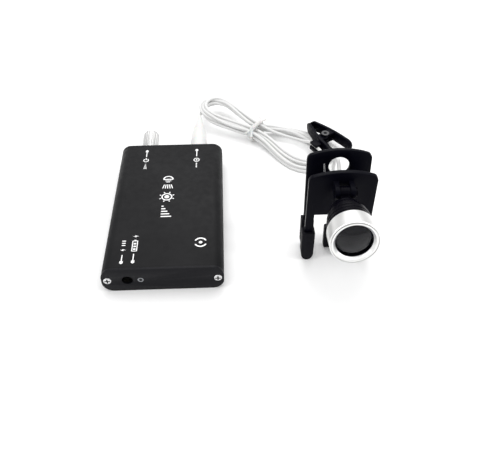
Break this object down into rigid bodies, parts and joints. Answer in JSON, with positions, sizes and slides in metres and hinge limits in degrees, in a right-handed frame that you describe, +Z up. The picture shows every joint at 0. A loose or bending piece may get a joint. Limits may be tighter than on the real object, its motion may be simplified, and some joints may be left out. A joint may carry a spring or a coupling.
{
  "type": "clip-on loupe headlight",
  "caption": "Clip-on LED headlight for dental loupes: a lamp on a spring clip, a tied cable with a lapel clip, and a flat battery pack with a dimmer knob.",
  "frame": {"origin": "centre of the battery pack's base", "axes": "+X across the pack towards the lamp, +Y along the pack from its charging end to its knob end, +Z up from the surface"},
  "size_m": [0.1409, 0.1793, 0.0589],
  "materials": {
    "black_anodised": "black anodised, fine satin",
    "silver_satin": "bright satin, turned",
    "screw_steel": "zinc plated",
    "black_gloss_metal": "gloss black",
    "black_plastic": "moulded, slight sheen",
    "black_rubber": "matt soft rubber",
    "jack_plastic": "moulded",
    "gold_contact": "gold plated",
    "led_epoxy": "clear diffused epoxy",
    "board_green": "solder mask",
    "chip_black": "moulded packages",
    "cell_foil": "laminated foil",
    "foam": "closed cell foam",
    "lead_red": "insulated wire",
    "white_cable": "soft extruded jacket",
    "white_moulded": "moulded, satin",
    "spring_wire": "drawn wire",
    "board_white": "white solder mask",
    "emitter_yellow": "phosphor and silicone dome",
    "lens_glass": "polished, coated"
  },
  "bodies": {
    "pack_and_cable": {"case_tube": "black_anodised", "front_end_plate": "black_anodised", "rear_end_plate": "black_anodised", "front_screws": "screw_steel", "rear_screws": "screw_steel", "dc_jack": "jack_plastic", "dc_contact_pin": "gold_contact", "charge_led": "led_epoxy", "circuit_board": "board_green", "board_components": "chip_black", "battery_cell": "cell_foil", "foam_pads": "foam", "cell_leads": "lead_red", "dimmer_body": "jack_plastic", "dimmer_nut": "screw_steel", "output_jack": "jack_plastic", "output_plug": "white_moulded", "plug_strain_relief": "white_moulded", "cord_plug_end": "white_cable", "cable_hank": "white_cable", "cable_tie": "white_moulded", "cord_lamp_end": "white_cable", "cable_gland": "black_rubber", "front_plate": "black_plastic", "front_sleeves": "black_rubber", "clip_pin": "screw_steel", "clip_spring": "spring_wire", "lamp_pin": "black_gloss_metal", "cable_holder": "black_plastic", "lapel_outer_jaw": "black_plastic", "lapel_pin": "black_gloss_metal", "lapel_spring": "black_gloss_metal"},
    "dimmer": {"dimmer_shaft": "screw_steel", "dimmer_knob": "silver_satin"},
    "rear_clip": {"rear_plate": "black_plastic", "rear_sleeves": "black_rubber", "centre_pad": "black_rubber"},
    "lamp": {"lamp_knuckle": "black_gloss_metal", "lamp_barrel": "black_gloss_metal", "led_board": "board_white", "led_emitter": "emitter_yellow", "lens_holder": "black_plastic", "lens": "lens_glass", "lens_seal": "black_rubber", "bezel": "silver_satin"},
    "lapel_jaw": {"lapel_inner_jaw": "black_plastic"}
  },
  "joints": [
    {"name": "dimmer_turn", "type": "hinge", "parent": "pack_and_cable", "child": "dimmer", "pos_m": [-0.0143, 0.056, 0.0075], "axis": [0, 1, 0], "range_deg": [0, 300]},
    {"name": "clip_squeeze", "type": "hinge", "parent": "pack_and_cable", "child": "rear_clip", "pos_m": [0.0872, -0.0242, 0.036], "axis": [1, 0, 0], "range_deg": [0, 18], "stiffness_Nm_per_rad": 0.6, "springref_deg": -14.32, "deforming": ["clip_spring"]},
    {"name": "lamp_tilt", "type": "hinge", "parent": "pack_and_cable", "child": "lamp", "pos_m": [0.0872, -0.036, 0.0484], "axis": [1, 0, 0], "range_deg": [-20, 30]},
    {"name": "lapel_open", "type": "hinge", "parent": "pack_and_cable", "child": "lapel_jaw", "pos_m": [0.095, 0.066, 0.0062], "axis": [0, 0, 1], "range_deg": [-16, 0], "stiffness_Nm_per_rad": 0.3, "springref_deg": 11.46, "deforming": ["lapel_spring"]}
  ]
}
